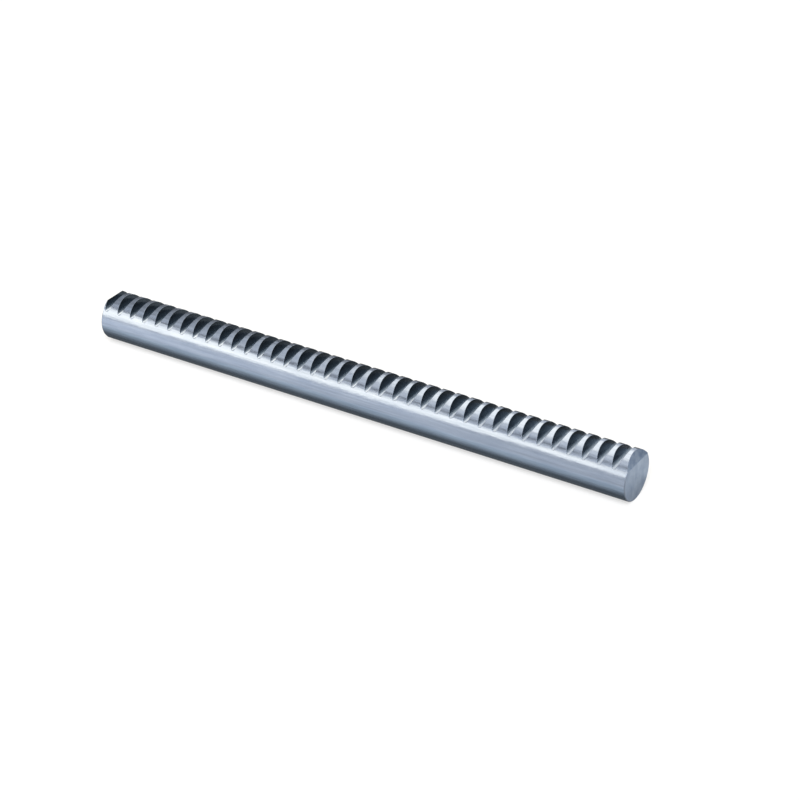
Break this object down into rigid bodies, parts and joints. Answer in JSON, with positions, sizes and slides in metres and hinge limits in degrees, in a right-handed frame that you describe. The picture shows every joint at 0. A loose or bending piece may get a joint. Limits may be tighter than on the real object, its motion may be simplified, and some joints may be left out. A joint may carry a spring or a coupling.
{
  "type": "gear rack",
  "caption": "Round gear rack: a bright steel bar with straight teeth milled across its crest, which a pinion drives lengthwise.",
  "frame": {"origin": "on the bar's axis, halfway along its length", "axes": "+X along the bar towards the near end face, +Z from the axis to the crest of the teeth, +Y across the bar, along each tooth"},
  "size_m": [0.3, 0.025, 0.025],
  "materials": {
    "bright_steel": "bright drawn bar, milled teeth, sawn and faced ends"
  },
  "bodies": {
    "root": {"rack_bar": "bright_steel"}
  },
  "joints": []
}
